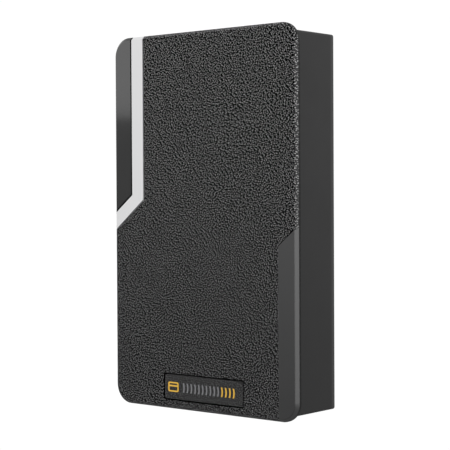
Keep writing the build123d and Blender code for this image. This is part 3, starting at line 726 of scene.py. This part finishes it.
def component_finishes():
    acetal = satin("natural_acetal", (0.70, 0.69, 0.64), 0.35, Subsurface_Weight=0.15, Subsurface_Scale=MM)
    return {
        "processor_chip": leaded("processor_epoxy", "processor_chip", outside("processor_chip", 5.0),
                                 (-3.9, 3.9)),
        "radio_chip": leaded("radio_epoxy", "radio_chip", feet(0.2), (-2.2, 2.2)),
        "regulator_chip": leaded("regulator_epoxy", "regulator_chip", feet(0.3), (-1.3, 1.8)),
        "small_parts": chip_ends(),
        "crystal": metal("crystal_can", (0.62, 0.60, 0.54), 0.24, (6.0, 1.0, 1.0)),
        "rf_shield": shield_can(),
        "bluetooth_module": radio_module(),
        "bulk_capacitors": can_capacitors(),
        "power_inductor": ferrite("ferrite_core", ring_on="power_inductor"),
        "status_leds": light_sources(),
        "light_tray": satin("white_reflector", (0.82, 0.82, 0.83), 0.22, spread=0.03, gloss=0.05),
        "buzzer": sounder(),
        "antenna_header": gilt_pins(),
        "tamper_switch": switch_body(),
        "tamper_plunger": acetal,
    }


def dress():
    """Gives every piece of the frame its own material, but for the spring, which is made below."""
    finishes = {**case_finishes(), **fixing_finishes(), **board_finishes(), **component_finishes()}
    for piece, material in finishes.items():
        slots = nodes[piece].data.materials
        slots.clear()
        slots.append(material)


# ---------------------------------------------------------------- the plunger's spring, in metres

WIRE_R = 0.15 * MM
TURNS, CLOSED = 3.5, 0.5                          # coils in all, and how much of a coil lies flat at each end
RINGS, SIDES = 168, 12                            # steps along the wire and round it


def return_spring():
    """A compression spring along y in its CAD node's place."""
    low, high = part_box("tamper_spring")
    middle_x, middle_z = (low[0] + high[0]) / 2, (low[2] + high[2]) / 2
    coil_r = (high[0] - low[0]) / 2 - WIRE_R
    start, length = low[1] + WIRE_R, high[1] - low[1] - 2 * WIRE_R
    points = []
    for i in range(RINGS + 1):
        coils = TURNS * i / RINGS
        share = min(1.0, max(0.0, (coils - CLOSED) / (TURNS - 2 * CLOSED)))
        for j in range(SIDES):
            turn = math.tau * j / SIDES
            reach = coil_r + WIRE_R * math.cos(turn)
            points.append((middle_x + reach * math.cos(math.tau * coils),
                           start + length * share + WIRE_R * math.sin(turn),
                           middle_z + reach * math.sin(math.tau * coils)))
    faces = [tuple(range(SIDES)), tuple(RINGS * SIDES + j for j in reversed(range(SIDES)))]
    for i in range(RINGS):
        for j in range(SIDES):
            a, b = i * SIDES + j, i * SIDES + (j + 1) % SIDES
            faces.append((a, a + SIDES, b + SIDES, b))
    mesh = bpy.data.meshes.new("return_spring")
    mesh.from_pydata(points, [], faces)
    mesh.shade_smooth()
    mesh.materials.append(metal("music_wire", (0.55, 0.55, 0.56), 0.22, (1.0, 4.0, 1.0)))
    spring = bpy.data.objects.new("return_spring", mesh)
    bpy.context.scene.collection.objects.link(spring)
    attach(spring, "reader")
    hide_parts("tamper_spring")
    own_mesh(spring)


# ---------------------------------------------------------------- stage and light, in metres

FLOOR_Z, FLOOR_SIZE = -0.6, 7.0
STUDIO_R = 4.0
WHITE = (1, 1, 1)
STAGE_GLOW = 1.02                                 # just past white, so the ground stays even
BELOW_GLOW, ABOVE_GLOW = 0.30, 0.65               # the fill light's strength under and over the horizon

LIGHTS = [
    # name, azimuth, elevation, distance, width, height, radiance
    ("key", -45, 25.6, 1.6, 1.25, 1.25, 1.9),
    ("fill", 54, 4, 1.6, 0.6, 0.6, 8.6),
    ("rim", 165, 10, 1.6, 0.8, 0.8, 0.75),
]


def emitter(name, color, strength):
    mat = bpy.data.materials.new(name)
    mat.use_nodes = True
    tree = mat.node_tree
    tree.nodes.clear()
    glow = tree.nodes.new("ShaderNodeEmission")
    glow.inputs["Color"].default_value = (*color, 1.0)
    glow.inputs["Strength"].default_value = strength
    out = tree.nodes.new("ShaderNodeOutputMaterial")
    tree.links.new(glow.outputs[0], out.inputs["Surface"])
    return mat


def make_stage():
    """A pale floor well below the reader, inside a white studio; both light nothing but the view."""
    bpy.ops.mesh.primitive_uv_sphere_add(segments=48, ring_count=24, radius=STUDIO_R)
    studio = bpy.context.object
    studio.name = "studio"
    bpy.ops.mesh.primitive_plane_add(size=FLOOR_SIZE, location=(0, 0, FLOOR_Z))
    floor = bpy.context.object
    floor.name = "floor"
    for thing, name in ((studio, "studio_white"), (floor, "floor_pale")):
        thing.data.materials.append(emitter(name, WHITE, STAGE_GLOW))
        for ray in ("diffuse", "glossy", "transmission", "shadow", "volume_scatter"):
            setattr(thing, f"visible_{ray}", False)


def make_world():
    """Even studio light that grows brighter from below the horizon to above it."""
    world = bpy.data.worlds.new("studio_fill")
    world.use_nodes = True
    tree = world.node_tree
    split = tree.nodes.new("ShaderNodeSeparateXYZ")
    tree.links.new(tree.nodes.new("ShaderNodeTexCoord").outputs["Generated"], split.inputs[0])
    light_falloff = tree.nodes.new("ShaderNodeMapRange")
    light_falloff.interpolation_type = "SMOOTHSTEP"
    levels = {"From Min": -0.5, "From Max": 0.5, "To Min": BELOW_GLOW, "To Max": ABOVE_GLOW}
    for socket, value in levels.items():
        light_falloff.inputs[socket].default_value = value
    tree.links.new(split.outputs["Z"], light_falloff.inputs["Value"])
    background = tree.nodes["Background"]
    background.inputs["Color"].default_value = (*WHITE, 1)
    tree.links.new(light_falloff.outputs["Result"], background.inputs["Strength"])
    bpy.context.scene.world = world


def area_light(name, azimuth, elevation, distance, width, height, radiance):
    """A soft box aimed at the reader."""
    back = direction(azimuth, elevation)
    data = bpy.data.lights.new(name, "AREA")
    data.shape = "RECTANGLE"
    data.size, data.size_y = width, height
    data.energy = radiance * math.pi * width * height
    light = bpy.data.objects.new(name, data)
    light.location = back * distance
    light.rotation_mode = "QUATERNION"
    light.rotation_quaternion = back.to_track_quat("Z", "Y")
    light.visible_camera = False
    bpy.context.scene.collection.objects.link(light)


bpy.context.scene.view_settings.view_transform = "Standard"
make_camera()
make_stage()
make_world()
for light in LIGHTS:
    area_light(*light)
dress()
return_spring()
